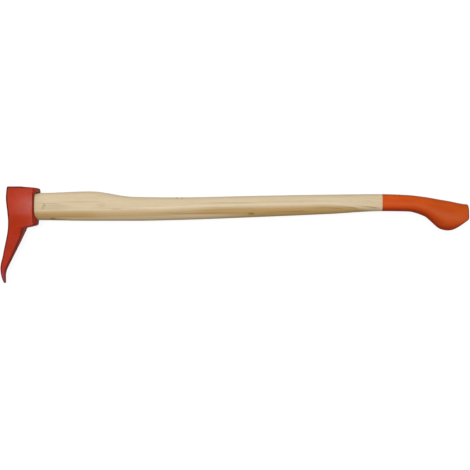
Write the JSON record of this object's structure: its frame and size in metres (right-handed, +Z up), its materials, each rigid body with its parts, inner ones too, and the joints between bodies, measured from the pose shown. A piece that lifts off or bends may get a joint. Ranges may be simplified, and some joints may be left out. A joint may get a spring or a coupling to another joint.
{
  "type": "log pick",
  "caption": "Log pick with a forged pick head wedged on a long ash handle that ends in a dipped grip and fawn foot; hooks, lifts and drags logs",
  "frame": {"origin": "the tool lies on its side; the middle of its box in plan, at the level of the lower cheek", "axes": "+X along the handle from the head to the grip, +Y from the pick's tip up to the poll, +Z up out of the upper cheek"},
  "size_m": [1.0155, 0.2092, 0.042],
  "materials": {
    "head_paint": "satin red enamel over forged steel",
    "ash": "pale ash, sanded and oiled",
    "wedge_wood": "plain hardwood, sawn",
    "wedge_steel": "bright drawn steel",
    "grip_paint": "glossy orange dipped coat"
  },
  "bodies": {
    "root": {"head": "head_paint", "handle": "ash", "wood_wedge": "wedge_wood", "steel_wedges": "wedge_steel", "grip_coat": "grip_paint"}
  },
  "joints": []
}
